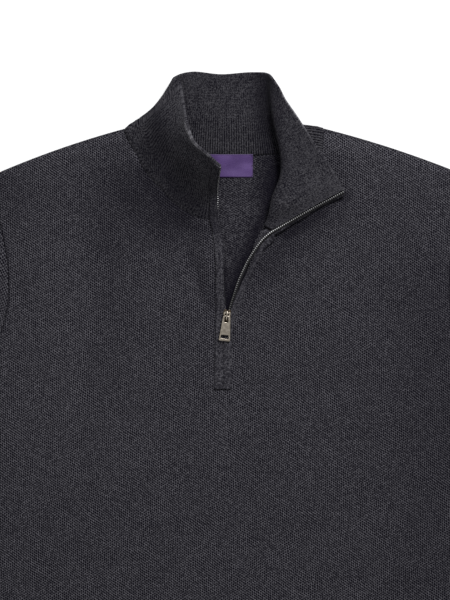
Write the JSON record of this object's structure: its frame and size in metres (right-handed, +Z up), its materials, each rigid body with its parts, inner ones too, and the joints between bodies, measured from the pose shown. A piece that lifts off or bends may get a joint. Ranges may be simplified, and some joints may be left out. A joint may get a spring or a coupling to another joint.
{
  "type": "quarter zip sweater",
  "caption": "Knitted pullover with a short front zip and a ribbed stand collar, laid flat, zip open and the collar turned out at one side.",
  "frame": {"origin": "middle of the sweater's box, on the surface that it lies on", "axes": "+Z up from that surface, +Y from the hem towards the collar, +X towards the wearer's left sleeve"},
  "size_m": [1.5236, 0.754, 0.0494],
  "materials": {
    "charcoal_knit": "matt melange knit",
    "charcoal_rib": "matt rib knit",
    "charcoal_trim": "matt plain knit",
    "purple_satin": "woven satin",
    "silver_teeth": "bright",
    "antique_nickel": "nickel plated, slightly dulled"
  },
  "bodies": {
    "garment": {"back_panel": "charcoal_knit", "front_panel": "charcoal_knit", "sleeve_left": "charcoal_knit", "sleeve_right": "charcoal_knit", "collar": "charcoal_rib", "hem_rib": "charcoal_rib", "cuff_left": "charcoal_rib", "cuff_right": "charcoal_rib", "trim_left": "charcoal_trim", "trim_right": "charcoal_trim", "neck_label": "purple_satin", "zip_chain_left": "silver_teeth", "zip_chain_right": "silver_teeth", "zip_slider": "antique_nickel"},
    "zip_pull": {"zip_pull": "antique_nickel"}
  },
  "joints": [
    {"name": "zip_pull_hinge", "type": "hinge", "parent": "garment", "child": "zip_pull", "pos_m": [-0.00218, 0.13217, 0.0106], "axis": [-0.9951, 0.0993, 0], "range_deg": [0, 140]}
  ]
}
